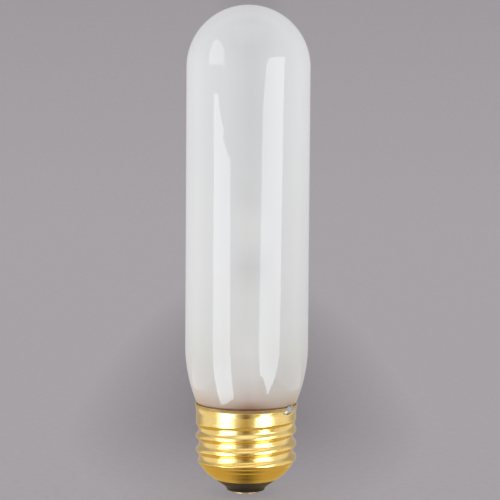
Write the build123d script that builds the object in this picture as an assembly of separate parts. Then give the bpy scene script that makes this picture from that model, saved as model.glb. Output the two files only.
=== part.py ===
from build123d import *
from math import atan2, cos, degrees, radians, sin, sqrt, tan
import os

# A frosted tubular filament lamp on a medium screw cap. All sizes are in millimetres.
# The tip of the centre contact is the origin, and the axis runs up +Z to the dome.

# Whole lamp
overall_length = 126.0
cap_height = 23.6  # contact tip to the rim of the shell

# Glass bulb
tube_diameter = 31.75
shoulder_radius = 39.0  # arc that draws the tube in towards the cap
rim_gap = 0.8  # height of the glass above the rim, where the side lead comes out
knee_inset = 0.2  # glass inside the edge of the rim
neck_depth = 11.0  # how far the neck goes into the cap
seal_diameter = 3.6  # melted end of the exhaust tube under the neck
seal_length = 2.0

# Screw shell
sheet = 0.3
thread_diameter = 26.1  # over the crests, and of the plain collar
thread_pitch = 25.4 / 7
thread_depth = 0.84
flank_angle = 40.0  # between the thread's sides and the axis
root_flat = 0.72
overcut = 0.05  # how far the thread's cutter stands out of the crests
groove_drop = 0.93  # from the top of the shoulder down to where the groove first crosses +X
runout_turns = 1.1  # over which the groove fades into the collar
collar_length = 1.9  # plain wall between the run-out and the flare
flare_height = 1.6
rim_flare = 0.3
base_hole_diameter = 16.6
base_hole_height = 3.95
base_edge_diameter = 20.0
base_edge_height = 5.2
shoulder_angle = 52.0  # between the cone under the thread and the horizontal
bottom_sheet = 0.45  # upright thickness of the sloping bottom

# Insulator and contact
tip_height = 0.3  # solder below the contact plate
tip_flat_diameter = 2.6
tip_solder_diameter = 5.4
plate_diameter = 7.8
plate_height = 0.8
eyelet_diameter = 3.0
eyelet_bore = 2.0
eyelet_length = 3.2  # of the tube that goes up into the insulator
insulator_tip_diameter = 9.9
flank_hollow = 0.25  # how far its flank is drawn in
insulator_height = 5.9

# Wires, cement and side solder
lead_diameter = 0.3
lead_clearance = 0.13
lead_spacing = 5.2  # between the two leads where they leave the neck
lead_bend = 1.2  # straight length of each lead below the neck
cement_drop = 1.8  # top of the cement below the rim
solder_angle = -32.0  # around the axis from +X
solder_width = 4.6
solder_height = 2.4
solder_proud = 0.8
solder_drop = 1.3  # of its middle below the rim

# Radii and heights that several pieces share
tube_radius = tube_diameter / 2
crest_radius = thread_diameter / 2
root_radius = crest_radius - thread_depth
bore_radius = root_radius - sheet
collar_bore = crest_radius - sheet
rim_radius = crest_radius + rim_flare
mouth_radius = rim_radius - sheet
flare_bottom = cap_height - flare_height
runout_end = flare_bottom - collar_length
runout_start = runout_end - runout_turns * thread_pitch
base_hole = base_hole_diameter / 2
base_edge = base_edge_diameter / 2
shoulder_rise = tan(radians(shoulder_angle))
shoulder_top = base_edge_height + (crest_radius - base_edge) * shoulder_rise
seat_bottom = base_hole_height + bottom_sheet
seat_edge = base_edge_height + bottom_sheet
lead_radius = lead_diameter / 2
neck_radius = bore_radius - lead_diameter - 2 * lead_clearance
neck_bottom = cap_height - neck_depth
lead_track = (bore_radius + neck_radius) / 2
lead_stand = lead_radius + lead_clearance / 2
knee_radius = rim_radius - knee_inset
knee_height = cap_height + rim_gap
cement_top = cap_height - cement_drop
insulator_bottom = tip_height + plate_height
insulator_top = insulator_bottom + insulator_height
eyelet_top = insulator_bottom + eyelet_length


def turned(*outline):
    """The solid that a closed outline of (radius, height) points makes round the axis."""
    points = [(radius, 0, height) for radius, height in outline]
    return revolve(make_face(Polyline(*points, close=True)), Axis.Z)


def wire(*points):
    """A round wire bent sharply at each point."""
    path = Polyline(*points)
    section = Plane(origin=path @ 0, z_dir=path % 0) * Circle(lead_radius)
    return sweep(section, path=path, transition=Transition.RIGHT)


def at_solder(radius, height):
    """The point at that radius and height in the plane of the side solder."""
    angle = radians(solder_angle)
    return (radius * cos(angle), radius * sin(angle), height)


def glass_bulb():
    """Sealed bulb: a round dome, a straight tube and a neck drawn in to fit the cap."""
    dome_start = overall_length - tube_radius
    slant = radians(45)
    draw = tube_radius - knee_radius
    length = sqrt(shoulder_radius**2 - (shoulder_radius - draw) ** 2)
    half_draw = shoulder_radius - sqrt(shoulder_radius**2 - (length / 2) ** 2)
    tube_end = knee_height + length
    seal_radius = seal_diameter / 2
    outline = [
        ThreePointArc(
            (0, 0, overall_length),
            (tube_radius * sin(slant), 0, dome_start + tube_radius * cos(slant)),
            (tube_radius, 0, dome_start),
        ),
        Line((tube_radius, 0, dome_start), (tube_radius, 0, tube_end)),
        ThreePointArc(
            (tube_radius, 0, tube_end),
            (tube_radius - half_draw, 0, tube_end - length / 2),
            (knee_radius, 0, knee_height),
        ),
        Polyline(
            (knee_radius, 0, knee_height),
            (neck_radius, 0, knee_height - (knee_radius - neck_radius)),
            (neck_radius, 0, neck_bottom),
            (seal_radius, 0, neck_bottom),
            (seal_radius, 0, neck_bottom - seal_length / 2),
            (0, 0, neck_bottom - seal_length),
            (0, 0, overall_length),
        ),
    ]
    return revolve(make_face(outline), Axis.Z)


def thread_groove():
    """Cutters for the thread: a groove with sloping sides, and its run-out into the collar."""
    outside = crest_radius + overcut
    half_root = root_flat / 2
    half_mouth = half_root + (outside - root_radius) / tan(radians(flank_angle))
    section = make_face(
        Polyline(
            (outside, 0, half_mouth),
            (root_radius, 0, half_root),
            (root_radius, 0, -half_root),
            (outside, 0, -half_mouth),
            close=True,
        )
    )
    first = shoulder_top - groove_drop
    below = first - thread_pitch
    helix = Helix(thread_pitch, runout_start - below, crest_radius, center=(0, 0, below))
    groove = sweep(Pos(0, 0, below) * section, path=helix, is_frenet=True)
    rise = runout_end - runout_start
    taper = degrees(atan2(thread_depth + overcut, rise))
    spiral = Helix(thread_pitch, rise, crest_radius, cone_angle=taper)
    turn = 360 * (runout_start - first) / thread_pitch
    runout = sweep(section, path=spiral, is_frenet=True)
    return groove, Pos(0, 0, runout_start) * Rot(0, 0, turn) * runout


def shell_blank():
    """The drawn shell before its thread is rolled, with its seam turned away from +X."""
    blank = turned(
        (base_hole, base_hole_height),
        (base_edge, base_edge_height),
        (crest_radius, shoulder_top),
        (crest_radius, flare_bottom),
        (rim_radius, cap_height),
        (mouth_radius, cap_height),
        (collar_bore, flare_bottom),
        (collar_bore, runout_end),
        (bore_radius, runout_start),
        (bore_radius, seat_edge + (bore_radius - base_edge) * shoulder_rise),
        (base_edge, seat_edge),
        (base_hole, seat_bottom),
    )
    return Rot(0, 0, 90) * blank


def screw_shell():
    """Rolled shell with its right-hand thread, plain collar and flared rim."""
    groove, runout = thread_groove()
    return shell_blank() - groove - runout


def insulator():
    """Black glass bowl that fills the bottom of the shell and stands out of its hole."""
    tip = insulator_tip_diameter / 2
    waist_radius = (tip + base_hole) / 2 - flank_hollow
    waist_height = (insulator_bottom + base_hole_height) / 2 + flank_hollow
    return turned(
        (tip, insulator_bottom),
        (waist_radius, waist_height),
        (base_hole, base_hole_height),
        (base_hole, seat_bottom),
        (base_edge, seat_edge),
        (base_edge + (insulator_top - seat_edge) / shoulder_rise, insulator_top),
        (eyelet_diameter / 2, insulator_top),
        (eyelet_diameter / 2, insulator_bottom),
    )


def contact_plate():
    """Centre contact: a disc with an eyelet that holds it in the insulator."""
    return turned(
        (eyelet_bore / 2, tip_height),
        (plate_diameter / 2, tip_height),
        (plate_diameter / 2, insulator_bottom),
        (eyelet_diameter / 2, insulator_bottom),
        (eyelet_diameter / 2, eyelet_top),
        (eyelet_bore / 2, eyelet_top),
    )


def centre_lead():
    """Wire from the neck to the eyelet of the centre contact."""
    side = lead_spacing / 2
    return wire(
        (-side, 0, neck_bottom),
        (-side, 0, neck_bottom - lead_bend),
        (0, 0, insulator_top),
        (0, 0, tip_height),
    )


def tip_solder(lead):
    """Solder that fills the eyelet round the lead and stands under the contact plate."""
    plug = turned(
        (0, 0),
        (tip_flat_diameter / 2, 0),
        (tip_solder_diameter / 2, tip_height),
        (eyelet_bore / 2, tip_height),
        (eyelet_bore / 2, eyelet_top),
        (0, eyelet_top),
    )
    return plug - lead


def side_lead():
    """Wire from the neck, up between glass and shell, over the rim and down to the collar."""
    bend_radius = mouth_radius - lead_radius
    bend_height = cap_height + lead_stand
    return wire(
        (lead_spacing / 2, 0, neck_bottom),
        (lead_spacing / 2, 0, neck_bottom - lead_bend),
        at_solder(lead_track, neck_bottom - lead_bend),
        at_solder(lead_track, bend_height - (bend_radius - lead_track)),
        at_solder(bend_radius, bend_height),
        at_solder(rim_radius + lead_stand, bend_height),
        at_solder(crest_radius + lead_stand, flare_bottom),
    )


def side_solder(lead):
    """Drop of solder on the collar under the rim, over the end of the side lead."""
    radius = ((solder_height / 2) ** 2 + solder_proud**2) / (2 * solder_proud)
    length = solder_width - solder_height
    drop = Rot(90, 0, 0) * Cylinder(radius, length)
    drop += Pos(0, length / 2, 0) * Sphere(radius) + Pos(0, -length / 2, 0) * Sphere(radius)
    middle = at_solder(crest_radius + solder_proud - radius, cap_height - solder_drop)
    drop = Pos(*middle) * Rot(0, 0, solder_angle) * drop
    inside = turned(
        (0, 0),
        (crest_radius, 0),
        (crest_radius, flare_bottom),
        (rim_radius, cap_height),
        (0, cap_height),
    )
    return drop - inside - lead


def basing_cement(lead):
    """Ring of cement that holds the neck in the collar of the shell."""
    ring = turned(
        (neck_radius, runout_end),
        (collar_bore, runout_end),
        (collar_bore, cement_top),
        (neck_radius, cement_top),
    )
    return ring - lead


def build():
    to_contact = centre_lead()
    to_rim = side_lead()
    return {
        "glass_bulb": glass_bulb(),
        "screw_shell": screw_shell(),
        "insulator": insulator(),
        "contact_plate": contact_plate(),
        "centre_lead": to_contact,
        "tip_solder": tip_solder(to_contact),
        "side_lead": to_rim,
        "side_solder": side_solder(to_rim),
        "basing_cement": basing_cement(to_rim),
    }


os.makedirs("parts", exist_ok=True)
for name, piece in build().items():
    export_step(piece, f"parts/{name}.step")
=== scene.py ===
import bpy
from math import atan2, cos, degrees, hypot, pi, radians, sin, sqrt, tan
from mathutils import Matrix, Vector


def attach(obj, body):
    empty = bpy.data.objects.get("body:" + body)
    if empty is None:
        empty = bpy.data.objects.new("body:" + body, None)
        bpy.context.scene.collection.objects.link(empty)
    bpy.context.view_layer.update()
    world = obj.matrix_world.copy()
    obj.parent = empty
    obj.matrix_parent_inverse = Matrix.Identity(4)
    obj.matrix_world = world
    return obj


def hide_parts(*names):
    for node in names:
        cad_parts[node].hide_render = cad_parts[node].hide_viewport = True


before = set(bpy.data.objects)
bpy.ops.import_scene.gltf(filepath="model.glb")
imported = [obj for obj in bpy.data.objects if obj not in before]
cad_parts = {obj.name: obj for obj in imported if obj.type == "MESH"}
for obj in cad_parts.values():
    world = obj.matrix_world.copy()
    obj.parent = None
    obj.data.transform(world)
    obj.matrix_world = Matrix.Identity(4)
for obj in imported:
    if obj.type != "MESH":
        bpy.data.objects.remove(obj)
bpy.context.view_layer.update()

MM = 0.001

# A frosted tubular lamp on a screw cap, upright, with the tip of its contact at the origin.
# Sizes are in millimetres. The points of an outline are radius and height, unless a note says otherwise.

# Glass bulb
LAMP_LENGTH = 126.0
TUBE_RADIUS = 15.875
DOME_TURN, DOME_TIP = 89.5, 0.05  # degrees of the dome's arc, and the small circle that closes it
SHOULDER_RADIUS = 39.0
KNEE_RADIUS, KNEE_HEIGHT = 13.15, 24.4
KNEE_ROUND = [(0.65, 0.95), (0.44, 0.84), (0.28, 0.66), (0.13, 0.33)]  # inwards and down from the knee
NECK_RADIUS, NECK_BOTTOM = 11.35, 12.6
NECK_EDGE = 0.4  # rounding at the bottom of the neck
NECK_FLARE = [(0, 2.4), (0.15, 1.95)]  # outwards from the neck and down from the knee
SEAL_LENGTH = 2.0
SEAL_OUTLINE = [(0.4, 1), (1.1, 0.8), (1.8, 0.4), (1.8, 0)]  # radius, and share of the length below the neck

# Brass shell
SHEET = 0.3
CREST_RADIUS = 13.05
THREAD_DEPTH = 0.84
THREAD_PITCH = 25.4 / 7
FIRST_GROOVE = 7.82  # where the middle of the groove first crosses +X
ROOT_HALF, FLANK_RISE = 0.45, 1.15
RUNOUT_START, RUNOUT_END = 16.1, 20.6
COLLAR_BOTTOM, COLLAR_TOP, COLLAR_LEAN = 17.3, 21.4, 0.028
FLARE_RADIUS, FLARE_BEND = 13.22, 1.25
FLARE_STEP, FLARE_STEPS = 0.16, 10
RIM_HEIGHT, RIM_RADIUS = 23.6, 13.35
BEAD = [(13.23, 23.08), (13.25, 23.16), (13.31, 23.24), (RIM_RADIUS, 23.34), (13.33, 23.47), (13.26, 23.56)]
ROLLED_EDGE = [(13.12, RIM_HEIGHT), (12.8, RIM_HEIGHT - 0.02)]
BASE_HOLE, BASE_HOLE_HEIGHT = 8.3, 3.95
BASE_EDGE, BASE_EDGE_HEIGHT = 10.0, 5.2
BOTTOM_SHEET = 0.45  # upright thickness of the sloping bottom
SHOULDER_RISE = tan(radians(50.5))
RIPPLE_DEPTH, RIPPLE_START, RIPPLE_PITCH = 0.05, 6.65, 1.2
RIPPLE_CLEAR, RIPPLE_GROWTH = 0.6, 1.8  # plain cone above its edge, and the rise over which ripples grow

# Insulator, contact and tip solder
EYELET_RADIUS, EYELET_BORE, EYELET_TOP = 1.5, 1.0, 4.3
PLATE_BOTTOM, PLATE_TOP = 0.3, 0.9
PLATE_EDGE = [(3.6, PLATE_BOTTOM), (3.82, 0.36), (3.9, 0.5), (3.9, 0.76), (3.84, 0.86), (3.7, PLATE_TOP)]
BOWL_TOP, BOWL_TOP_RADIUS = 7.0, 11.05
BOWL_FOOT = [(4.6, PLATE_TOP), (4.85, 0.97), (4.98, 1.2), (5.1, 1.55)]
BOWL_FLANK = [(5.35, 1.85), (5.65, 2.1), (6.0, 2.36), (6.7, 2.85), (7.5, 3.4)]
TIP_CORE = 0.3  # small circle that closes the drop at each end
TIP_DROP = [(TIP_CORE, 0), (1.3, 0), (1.75, 0.03), (2.2, 0.1), (2.55, 0.2), (2.7, PLATE_BOTTOM)]

# Side solder
SMEAR_ANGLE = radians(-34.5)
SMEAR_HALF_SIZE = (0.72, 2.1, 1.1)  # out of the wall, along the rim and up
SMEAR_TAPER, SMEAR_TILT = 0.3, 0.35
SMEAR_DROP = 0.85  # of its middle below the rim
SMEAR_INNER = 12.82  # where it is cut off flat inside the wall
LUMP_SIZE, LUMP_HEIGHT = 0.9, 0.28

SEGMENTS = 160
SMOOTH_ANGLE = radians(40)


def deselect():
    if bpy.context.mode != "OBJECT":
        bpy.ops.object.mode_set(mode="OBJECT")
    bpy.ops.object.select_all(action="DESELECT")


def smooth_step(x):
    x = min(max(x, 0.0), 1.0)
    return x * x * (3 - 2 * x)


def raise_rings(name, rings, segments=SEGMENTS, close_ends=False):
    """Draws a round piece up from a circle, ring by ring. A ring is a radius and a height."""
    deselect()
    rings = [(radius * MM, height * MM) for radius, height in rings]
    radius, height = rings[0]
    bpy.ops.mesh.primitive_circle_add(vertices=segments, radius=radius, location=(0, 0, 0))
    piece = bpy.context.object
    piece.name = piece.data.name = name
    bpy.ops.object.mode_set(mode="EDIT")
    bpy.ops.mesh.select_all(action="SELECT")
    bpy.ops.transform.translate(value=(0, 0, height))
    for new_radius, new_height in rings[1:]:
        bpy.ops.mesh.extrude_region_move(TRANSFORM_OT_translate={"value": (0, 0, new_height - height)})
        scale = new_radius / radius
        if abs(scale - 1) > 1e-9:
            bpy.ops.transform.resize(value=(scale, scale, 1), center_override=(0, 0, new_height))
        radius, height = new_radius, new_height
    bpy.ops.mesh.select_all(action="SELECT")
    bpy.ops.mesh.remove_doubles(threshold=0.002 * MM)
    if close_ends:
        bpy.ops.mesh.select_all(action="DESELECT")
        bpy.ops.mesh.select_non_manifold()
        bpy.ops.mesh.fill_holes(sides=0)
    bpy.ops.mesh.select_all(action="SELECT")
    bpy.ops.mesh.normals_make_consistent(inside=False)
    bpy.ops.object.mode_set(mode="OBJECT")
    bpy.ops.object.shade_smooth_by_angle(angle=SMOOTH_ANGLE)
    return piece


def arc(middle, radius, start, end, steps):
    """Points of an arc in the plane of radius and height, with angles in degrees."""
    turns = [radians(start + (end - start) * i / steps) for i in range(steps + 1)]
    return [(middle[0] + radius * cos(turn), middle[1] + radius * sin(turn)) for turn in turns]


def mounted(piece, node, material):
    """Puts a finished piece on the lamp in the place of its CAD node."""
    piece.data.materials.clear()
    piece.data.materials.append(material)
    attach(piece, "root")
    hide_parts(node)


# Materials


class Finish:
    """A material with one Principled shader and short ways to add and link nodes."""

    def __init__(self, name):
        self.material = bpy.data.materials.new(name)
        self.material.use_nodes = True
        self.nodes = self.material.node_tree.nodes
        self.links = self.material.node_tree.links
        self.shader = self.nodes["Principled BSDF"]
        self.place = self.add("ShaderNodeTexCoord").outputs["Object"]

    def add(self, kind, inputs=None, **settings):
        node = self.nodes.new(kind)
        for key, value in settings.items():
            setattr(node, key, value)
        for key, value in (inputs or {}).items():
            self.put(node, key, value)
        return node

    def put(self, node, key, value):
        """Links an output to the input, or sets the input to a constant."""
        socket = node.inputs[key]
        if isinstance(value, bpy.types.NodeSocket):
            self.links.new(value, socket)
        else:
            socket.default_value = value

    def set(self, **values):
        for key, value in values.items():
            self.put(self.shader, key.replace("_", " "), value)

    def math(self, operation, *values):
        return self.add("ShaderNodeMath", dict(enumerate(values)), operation=operation).outputs[0]

    def noise(self, scale, detail, stretch=(1, 1, 1)):
        place = self.add("ShaderNodeMapping", {"Vector": self.place, "Scale": stretch}).outputs["Vector"]
        inputs = {"Vector": place, "Scale": scale, "Detail": detail}
        return self.add("ShaderNodeTexNoise", inputs).outputs["Fac"]

    def ramp(self, value, stops):
        node = self.add("ShaderNodeValToRGB", {"Fac": value})
        band = node.color_ramp
        while len(band.elements) < len(stops):
            band.elements.new(0.5)
        for element, (position, colour) in zip(band.elements, stops):
            element.position = position
            element.color = (*colour, 1)
        return node.outputs["Color"]

    def range(self, value, low, high, out_low=0.0, out_high=1.0):
        inputs = {"Value": value, 1: low, 2: high, 3: out_low, 4: out_high}
        return self.add("ShaderNodeMapRange", inputs).outputs["Result"]

    def mix(self, share, first, second, blend="MIX"):
        node = self.add("ShaderNodeMix", data_type="RGBA", blend_type=blend)
        for key, value in ((0, share), (6, first), (7, second)):
            if isinstance(value, tuple) and len(value) == 3:
                value = (*value, 1)
            self.put(node, key, value)
        return node.outputs[2]

    def axis(self, letter):
        split = self.add("ShaderNodeSeparateXYZ", {"Vector": self.place})
        return split.outputs[letter]

    def bump(self, height, strength, distance):
        inputs = {"Height": height, "Strength": strength, "Distance": distance * MM}
        self.set(Normal=self.add("ShaderNodeBump", inputs).outputs["Normal"])


def frosted_glass():
    """White etched glass under a clear gloss, with painted shade in its colour: brown above the rim where
    the brass and the neck show through, and a middle column with a painted soft shadow of the mount.
    """
    shade_column_shift, shade_column_half, shade_column_reach = 0.8 * MM, 0.5 * MM, 6.5 * MM
    finish = Finish("frosted_glass")
    along = finish.range(finish.axis("Z"), RIM_HEIGHT * MM, LAMP_LENGTH * MM)
    # Tone of the sides along the bulb: white glass with painted shade, brown above the rim where the brass
    # and the neck show through, and darker towards the rim.
    sides = finish.ramp(along, [
        (0.003, (0.62, 0.47, 0.38)),
        (0.012, (0.64, 0.52, 0.45)),
        (0.026, (0.70, 0.62, 0.56)),
        (0.046, (0.78, 0.73, 0.69)),
        (0.085, (0.80, 0.768, 0.742)),
        (0.147, (0.85, 0.845, 0.81)),
        (0.211, (0.89, 0.89, 0.883)),
        (0.355, (0.915, 0.915, 0.922)),
        (0.81, (0.928, 0.935, 0.943)),
        (1.0, (0.92, 0.925, 0.935)),
    ])
    # Tone of a middle column, front and back: painted shade, lighter low down and darker high up, with a
    # painted soft shadow of the mount near 0.355 and a light band above it.
    middle = finish.ramp(along, [
        (0.006, (0.42, 0.245, 0.175)),
        (0.026, (0.677, 0.567, 0.512)),
        (0.046, (0.77, 0.70, 0.65)),
        (0.086, (0.9, 0.868, 0.843)),
        (0.147, (0.957, 0.948, 0.934)),
        (0.211, (0.924, 0.924, 0.922)),
        (0.28, (0.926, 0.926, 0.926)),
        (0.355, (0.83, 0.834, 0.842)),
        (0.425, (0.937, 0.94, 0.945)),
        (0.465, (0.945, 0.948, 0.95)),
        (0.525, (0.875, 0.88, 0.89)),
        (0.72, (0.843, 0.85, 0.865)),
        (0.9, (0.85, 0.857, 0.872)),
        (1.0, (0.89, 0.895, 0.905)),
    ])
    # The middle tone takes over near X = 0.8 mm, so this painted shade lies in a column down the front and
    # the back.
    aside = finish.math("ABSOLUTE", finish.math("SUBTRACT", finish.axis("X"), shade_column_shift))
    glass_tone_with_painted_shade = finish.mix(finish.range(aside, shade_column_half, shade_column_reach, 1, 0), sides, middle)
    cloud = finish.range(finish.noise(30, 3), 0.3, 0.7, 0.98, 1.01)
    finish.set(Base_Color=finish.mix(1.0, glass_tone_with_painted_shade, cloud, "MULTIPLY"))
    finish.set(Roughness=0.6, Specular_IOR_Level=0.0)
    finish.set(Coat_Weight=1.0, Coat_Roughness=0.005, Coat_IOR=1.5)
    finish.bump(finish.noise(55, 1, (1, 1, 0.35)), 0.05, 0.2)
    return finish.material


def rolled_brass(name, roughness, bright, dull):
    """Brass with a little tarnish and fine scratches, and a painted brown shade along the rim, darkest in
    the middle of the front and back.
    """
    rim_shade_bottom, rim_shade_full = (RIM_HEIGHT - 1.15) * MM, (RIM_HEIGHT - 0.85) * MM
    rim_shade_half, rim_shade_reach, rim_shade_side = 6 * MM, 13 * MM, 0.25
    rim_shade_brown, rim_shade_roughness = (0.26, 0.165, 0.08), 0.4
    finish = Finish(name)
    tarnish = finish.range(finish.noise(160, 4), 0.35, 0.75)
    aside = finish.math("ABSOLUTE", finish.axis("X"))
    # Painted shade: a brown band along the top of the rim, full in a column across the middle of the front
    # and back and weaker to the sides; the same band also makes the rim rougher.
    rim_shade = finish.range(finish.axis("Z"), rim_shade_bottom, rim_shade_full)
    rim_shade = finish.math("MULTIPLY", rim_shade, finish.range(aside, rim_shade_half, rim_shade_reach, 1, rim_shade_side))
    finish.set(Base_Color=finish.mix(rim_shade, finish.mix(tarnish, bright, dull), rim_shade_brown))
    scratch = finish.noise(420, 3, (1, 1, 9))
    rough = finish.range(scratch, 0.3, 0.7, roughness - 0.04, roughness + 0.08)
    finish.set(Metallic=1.0, Roughness=finish.math("MULTIPLY_ADD", rim_shade, rim_shade_roughness, rough))
    finish.bump(scratch, 0.08, 0.02)
    return finish.material


def black_glass():
    finish = Finish("black_glass")
    flow = finish.noise(300, 3)
    finish.set(Base_Color=finish.mix(flow, (0.016, 0.012, 0.012), (0.034, 0.026, 0.026)))
    finish.set(Roughness=finish.range(flow, 0.3, 0.7, 0.3, 0.45), Specular_IOR_Level=0.12)
    finish.bump(flow, 0.2, 0.06)
    return finish.material


def dull_solder():
    finish = Finish("dull_solder")
    grain = finish.noise(900, 4)
    finish.set(Base_Color=finish.mix(grain, (0.34, 0.33, 0.31), (0.52, 0.51, 0.49)))
    finish.set(Metallic=1.0, Roughness=finish.range(grain, 0.3, 0.7, 0.35, 0.55))
    finish.bump(grain, 0.3, 0.05)
    return finish.material


def lead_wire():
    finish = Finish("lead_wire")
    grain = finish.noise(1500, 3)
    finish.set(Base_Color=finish.mix(grain, (0.20, 0.13, 0.09), (0.42, 0.30, 0.22)))
    finish.set(Metallic=1.0, Roughness=finish.range(grain, 0.3, 0.7, 0.3, 0.5))
    return finish.material


def cement():
    finish = Finish("basing_cement")
    grain = finish.noise(1200, 5)
    finish.set(Base_Color=finish.mix(grain, (0.36, 0.28, 0.20), (0.62, 0.53, 0.42)), Roughness=0.9)
    finish.bump(grain, 0.5, 0.1)
    return finish.material


# Pieces


def make_glass():
    """The bulb: seal, neck, drawn-in shoulder, straight tube and dome."""
    shoulder_steps, tube_steps, dome_steps = 24, 12, 40
    draw = TUBE_RADIUS - KNEE_RADIUS
    length = sqrt(SHOULDER_RADIUS**2 - (SHOULDER_RADIUS - draw) ** 2)
    tube_end = KNEE_HEIGHT + length
    dome_start = LAMP_LENGTH - TUBE_RADIUS
    tube_length = dome_start - tube_end
    knee_turn = -degrees(atan2(length, SHOULDER_RADIUS - draw))
    rings = [(radius, NECK_BOTTOM - share * SEAL_LENGTH) for radius, share in SEAL_OUTLINE]
    rings += [(NECK_RADIUS - NECK_EDGE, NECK_BOTTOM), (NECK_RADIUS, NECK_BOTTOM + NECK_EDGE)]
    rings += [(NECK_RADIUS + outwards, KNEE_HEIGHT - down) for outwards, down in NECK_FLARE]
    rings += [(KNEE_RADIUS - inwards, KNEE_HEIGHT - down) for inwards, down in KNEE_ROUND]
    rings += arc((TUBE_RADIUS - SHOULDER_RADIUS, tube_end), SHOULDER_RADIUS, knee_turn, 0, shoulder_steps)
    rings += [(TUBE_RADIUS, tube_end + tube_length * i / tube_steps) for i in range(1, tube_steps)]
    rings += arc((0, dome_start), TUBE_RADIUS, 0, DOME_TURN, dome_steps)
    rings[-1] = (DOME_TIP, LAMP_LENGTH)
    return raise_rings("frosted_bulb", rings, close_ends=True)


def shell_wall(height):
    """Radius of the shell's outside before its thread is rolled."""
    if height < BASE_EDGE_HEIGHT:
        share = (height - BASE_HOLE_HEIGHT) / (BASE_EDGE_HEIGHT - BASE_HOLE_HEIGHT)
        return BASE_HOLE + (BASE_EDGE - BASE_HOLE) * share
    cone = BASE_EDGE + (height - BASE_EDGE_HEIGHT) / SHOULDER_RISE
    growth = smooth_step((height - BASE_EDGE_HEIGHT - RIPPLE_CLEAR) / RIPPLE_GROWTH)
    cone += RIPPLE_DEPTH * growth * cos(2 * pi * (height - RIPPLE_START) / RIPPLE_PITCH)
    lean = COLLAR_LEAN * max(height - COLLAR_BOTTOM, 0)
    return min(CREST_RADIUS - lean, cone)


def thread_limit(angle, height):
    """Largest radius that the rolled thread leaves at an angle and a height."""
    turns = (height - FIRST_GROOVE) / THREAD_PITCH - angle / (2 * pi)
    from_groove = abs(turns - round(turns)) * THREAD_PITCH
    groove = 1 - smooth_step((from_groove - ROOT_HALF) / FLANK_RISE)
    runout = min(max((height - RUNOUT_START) / (RUNOUT_END - RUNOUT_START), 0), 1)
    return CREST_RADIUS - THREAD_DEPTH * groove * (1 - runout)


def make_shell():
    """The brass shell: a plain cup with a beaded rim, into which the thread is rolled."""
    wall_steps = 150
    wall_height = COLLAR_TOP - BASE_HOLE_HEIGHT
    heights = [BASE_HOLE_HEIGHT + wall_height * i / wall_steps for i in range(wall_steps + 1)]
    rings = [(shell_wall(height), height) for height in heights]
    flare = FLARE_RADIUS - rings[-1][0]
    for i in range(1, FLARE_STEPS + 1):
        inset = flare * (1 - (i / FLARE_STEPS) ** FLARE_BEND)
        rings.append((FLARE_RADIUS - inset, COLLAR_TOP + FLARE_STEP * i))
    shell = raise_rings("threaded_shell", rings + BEAD + ROLLED_EDGE)
    for vertex in shell.data.vertices:
        x, y, height = vertex.co / MM
        limit = thread_limit(atan2(y, x), height)
        radius = hypot(x, y)
        if height < COLLAR_TOP and limit < radius:
            vertex.co.xy *= limit / radius
    wall = shell.modifiers.new("wall", "SOLIDIFY")
    wall.thickness = SHEET * MM
    wall.offset = -1
    deselect()
    bpy.context.view_layer.objects.active = shell
    bpy.ops.object.modifier_apply(modifier=wall.name)
    return shell


def make_insulator():
    """The black bowl, with a flank that is drawn in under the shell's hole."""
    rings = [(EYELET_RADIUS, BOWL_TOP), (EYELET_RADIUS, PLATE_TOP)]
    rings += BOWL_FOOT + BOWL_FLANK
    rings += [(BASE_HOLE, BASE_HOLE_HEIGHT), (BASE_HOLE, BASE_HOLE_HEIGHT + BOTTOM_SHEET)]
    rings += [(BASE_EDGE, BASE_EDGE_HEIGHT + BOTTOM_SHEET), (BOWL_TOP_RADIUS, BOWL_TOP)]
    rings += [(EYELET_RADIUS, BOWL_TOP)]
    return raise_rings("black_insulator", rings)


def make_contact():
    """The centre contact: a disc with rounded edges and its eyelet."""
    rings = [(EYELET_BORE, EYELET_TOP), (EYELET_BORE, PLATE_BOTTOM)]
    rings += PLATE_EDGE
    rings += [(EYELET_RADIUS, PLATE_TOP), (EYELET_RADIUS, EYELET_TOP), (EYELET_BORE, EYELET_TOP)]
    return raise_rings("centre_contact", rings)


def make_tip():
    """The drop of solder that closes the eyelet."""
    rings = TIP_DROP + [(EYELET_BORE, PLATE_BOTTOM), (EYELET_BORE, EYELET_TOP), (TIP_CORE, EYELET_TOP)]
    return raise_rings("tip_solder_drop", rings, segments=64, close_ends=True)


def make_side_solder():
    """The smear of solder over the rim, thin at its tail and flat where it lies in the wall."""
    deselect()
    bpy.ops.mesh.primitive_uv_sphere_add(segments=64, ring_count=32, radius=MM)
    smear = bpy.context.object
    smear.name = smear.data.name = "side_solder_smear"
    for vertex in smear.data.vertices:
        x, y, z = vertex.co
        vertex.co.z = z * (1 + SMEAR_TAPER * y / MM) + SMEAR_TILT * y
    lumps = bpy.data.textures.new("lumps", "CLOUDS")
    lumps.noise_scale = LUMP_SIZE * MM
    rough = smear.modifiers.new("lumps", "DISPLACE")
    rough.texture, rough.strength = lumps, LUMP_HEIGHT * MM
    bpy.ops.object.modifier_apply(modifier=rough.name)
    bpy.ops.object.mode_set(mode="EDIT")
    bpy.ops.mesh.select_all(action="SELECT")
    bpy.ops.transform.resize(value=SMEAR_HALF_SIZE)
    bpy.ops.transform.translate(value=(CREST_RADIUS * MM, 0, (RIM_HEIGHT - SMEAR_DROP) * MM))
    cut = (SMEAR_INNER * MM, 0, 0)
    bpy.ops.mesh.bisect(plane_co=cut, plane_no=(1, 0, 0), use_fill=True, clear_inner=True)
    bpy.ops.object.mode_set(mode="OBJECT")
    smear.data.transform(Matrix.Rotation(SMEAR_ANGLE, 4, "Z"))
    bpy.ops.object.shade_smooth_by_angle(angle=SMOOTH_ANGLE)
    return smear


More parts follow.
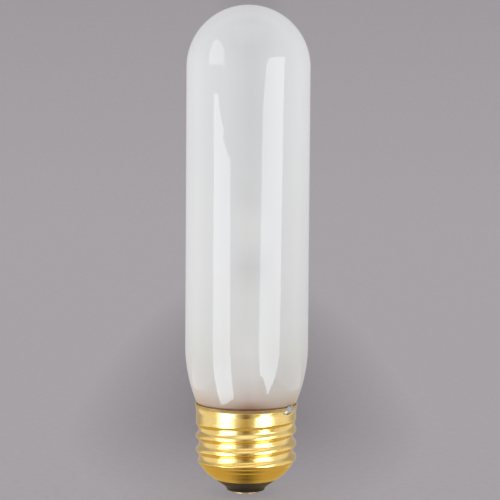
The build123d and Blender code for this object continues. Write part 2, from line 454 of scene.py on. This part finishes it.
shell_brass = rolled_brass("rolled_brass", 0.18, (0.84, 0.63, 0.245), (0.78, 0.54, 0.17))
contact_brass = rolled_brass("contact_brass", 0.45, (0.44, 0.33, 0.2), (0.32, 0.23, 0.13))
solder, wire = dull_solder(), lead_wire()
mounted(make_glass(), "glass_bulb", frosted_glass())
mounted(make_shell(), "screw_shell", shell_brass)
mounted(make_insulator(), "insulator", black_glass())
mounted(make_contact(), "contact_plate", contact_brass)
mounted(make_tip(), "tip_solder", solder)
mounted(make_side_solder(), "side_solder", solder)
for node, material in (("centre_lead", wire), ("side_lead", wire), ("basing_cement", cement())):
    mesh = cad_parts[node].data
    mesh.materials.clear()
    mesh.materials.append(material)


# Stage, light and camera


def make_floor():
    """A round floor that curves up into a wall, in a pale grey that mostly glows, with a painted soft shadow
    behind the lamp and painted shade up the wall. The lamp is lit as if it weren't there.
    """
    # Painted shade: a soft shadow on the floor behind the lamp, and the wall painted darker as it rises.
    shade_middle, shade_end = 130 * MM, 550 * MM  # behind the lamp
    shade_narrowing, shade_depth = 22, 0.64
    wall_start, wall_end, wall_shade_depth = 20 * MM, 200 * MM, 0.89
    rings = [(0.5, 0), (500, 0), (800, 20), (1100, 90), (1400, 240), (1650, 500), (1800, 900), (1850, 1500)]
    floor = raise_rings("floor", rings, segments=96)
    finish = Finish("floor_paper")
    grain = finish.mix(finish.noise(400, 3), (0.42, 0.392, 0.414), (0.47, 0.442, 0.464))
    near = finish.range(finish.axis("Y"), 0, shade_middle, 1, 0)
    far = finish.range(finish.axis("Y"), shade_middle, shade_end)
    across = finish.math("MULTIPLY", finish.axis("X"), shade_narrowing)
    back = finish.math("ADD", near, far)
    shadow_place = finish.add("ShaderNodeCombineXYZ", {"X": across, "Y": back}).outputs[0]
    shadow_distance = finish.add("ShaderNodeVectorMath", {0: shadow_place}, operation="LENGTH").outputs["Value"]
    paper_with_painted_shade = finish.mix(1.0, grain, finish.range(shadow_distance, 0.35, 1.25, shade_depth, 1.0), "MULTIPLY")
    rise = finish.range(finish.axis("Z"), wall_start, wall_end, 1.0, wall_shade_depth)
    paper_with_painted_shade = finish.mix(1.0, paper_with_painted_shade, rise, "MULTIPLY")
    finish.set(Base_Color=finish.mix(0.75, paper_with_painted_shade, (0, 0, 0)), Emission_Color=paper_with_painted_shade, Emission_Strength=0.67)
    finish.set(Roughness=1.0, Specular_IOR_Level=0.0)
    floor.data.materials.append(finish.material)
    floor.visible_glossy = floor.visible_diffuse = floor.visible_shadow = False


def oblong(half_width, bottom, top):
    return [(-half_width, bottom), (half_width, bottom), (half_width, top), (-half_width, top)]


def card(name, corners, glow, azimuth=0.0, distance=500, lying=False, mirrored=True,
         edge_glow=None, fade=0.1, low_glow=None):
    """A flat card near the lamp, with corners across and up, that shows in reflections or lights matt faces.

    Its glow may change towards its sides, from a share of its width on, or towards its foot.
    """
    foot_height = 200 * MM
    mesh = bpy.data.meshes.new(name)
    mesh.from_pydata([(x * MM, 0, z * MM) for x, z in corners], [], [range(len(corners))])
    piece = bpy.data.objects.new(name, mesh)
    bpy.context.collection.objects.link(piece)
    place = Matrix.Rotation(radians(azimuth), 4, "Z") @ Matrix.Translation((0, -distance * MM, 0))
    if lying:
        place = Matrix.Translation((0, 0, distance * MM)) @ Matrix.Rotation(-pi / 2, 4, "X")
    mesh.transform(place)
    finish = Finish(name)
    if edge_glow:
        reach = max(x for x, z in corners) * MM
        across = finish.math("ABSOLUTE", finish.axis("X"))
        glow = finish.mix(finish.range(across, fade * reach, reach), glow, edge_glow)
    elif low_glow:
        glow = finish.mix(finish.range(finish.axis("Z"), -foot_height, 0), low_glow, glow)
    else:
        glow = (*glow, 1)
    finish.set(Base_Color=(0, 0, 0, 1), Specular_IOR_Level=0.0, Emission_Color=glow, Emission_Strength=1.0)
    mesh.materials.append(finish.material)
    piece.visible_camera = False
    piece.visible_glossy = mirrored
    piece.visible_diffuse = piece.visible_shadow = not mirrored


def light_studio():
    """An even white studio, a little darker overhead."""
    world = bpy.data.worlds.new("studio")
    bpy.context.scene.world = world
    world.use_nodes = True
    nodes, links = world.node_tree.nodes, world.node_tree.links
    split = nodes.new("ShaderNodeSeparateXYZ")
    links.new(nodes.new("ShaderNodeTexCoord").outputs["Generated"], split.inputs[0])
    rise = nodes.new("ShaderNodeMapRange")
    links.new(split.outputs["Z"], rise.inputs["Value"])
    for key, value in (("From Min", -0.1), ("From Max", 0.6), ("To Min", 0.98), ("To Max", 0.8)):
        rise.inputs[key].default_value = value
    links.new(rise.outputs["Result"], nodes["Background"].inputs["Strength"])
    nodes["Background"].inputs["Color"].default_value = (1, 1, 1, 1)


def place_cards():
    """Softboxes shaped like the highlights on the glass, and the dark and warm zones that brass mirrors."""
    softbox, softbox_foot, white = (3.85, 3.9, 3.97), (4.7, 5.35, 5.8), (0.9, 0.9, 0.9)
    brown, amber, warm = (0.13, 0.085, 0.02), (0.6, 0.5, 0.25), (0.63, 0.47, 0.16)
    left = [(-140, 105), (-65, 105), (-10, 93), (45, 87), (20, 83), (95, 77), (90, 75), (160, 73)]
    left += [(180, -60), (186, -250), (176, -455), (-186, -472), (-133, -40)]
    card("left_softbox", left, softbox, azimuth=-49.5, low_glow=softbox_foot)
    right = [(-47, 250), (262, 260), (217, 113), (170, -16), (139, -176), (55, -365)]
    right += [(-107, -209), (-160, -200), (-200, -20), (-160, 98), (-114, 118)]
    card("right_softbox", right, softbox, azimuth=44.5, low_glow=softbox_foot)
    upper = [(-135, 140), (168, 140), (127, 340), (75, 425), (-20, 505), (-112, 545)]
    upper += [(-177, 555), (-205, 510), (-165, 305)]
    card("upper_softbox", upper, (2.9, 2.95, 3), azimuth=-62)
    card("ceiling", oblong(250, -650, -60), (1.3, 1.3, 1.3), distance=700, lying=True)
    front = {"azimuth": -3, "distance": 560}
    card("brown_front", oblong(270, -1000, -320), (0.28, 0.19, 0.065), edge_glow=white, **front)
    card("dark_front", oblong(270, -320, -70), brown, edge_glow=white, **front)
    card("amber_front", oblong(240, -70, 60), amber, edge_glow=white, **front)
    card("dark_below", oblong(70, -30, 85), brown, distance=-150, lying=True, edge_glow=warm)
    card("warm_below", oblong(1200, -1200, 2500), warm, distance=-600, lying=True)
    wall = oblong(1100, -120, 800)
    card("grey_wall", wall, (0.5, 0.48, 0.5), azimuth=180, distance=400, edge_glow=white, fade=0.4)
    card("front_shade", oblong(270, -180, 570), (0.25, 0.25, 0.26), mirrored=False, **front)
    side = oblong(110, -250, 10)
    card("right_shade", side, (0.45, 0.45, 0.45), azimuth=90, distance=120, mirrored=False)


def place_camera():
    """The photo's camera, in front of the lamp and a little above its middle."""
    elevation, roll = radians(4.31), radians(0.403)
    distance, aim_height, aside = 508.5, 63.24, 0.7
    place = Vector((aside, -distance * cos(elevation), aim_height + distance * sin(elevation))) * MM
    turn = Matrix.Rotation(pi / 2 - elevation, 3, "X") @ Matrix.Rotation(roll, 3, "Z")
    bpy.ops.object.camera_add(location=place, rotation=turn.to_euler())
    camera = bpy.context.object
    camera.data.sensor_width = 36
    camera.data.lens = 142.19
    camera.data.clip_start = 10 * MM
    bpy.context.scene.camera = camera


make_floor()
light_studio()
place_cards()
place_camera()
bpy.context.scene.view_settings.view_transform = "Standard"
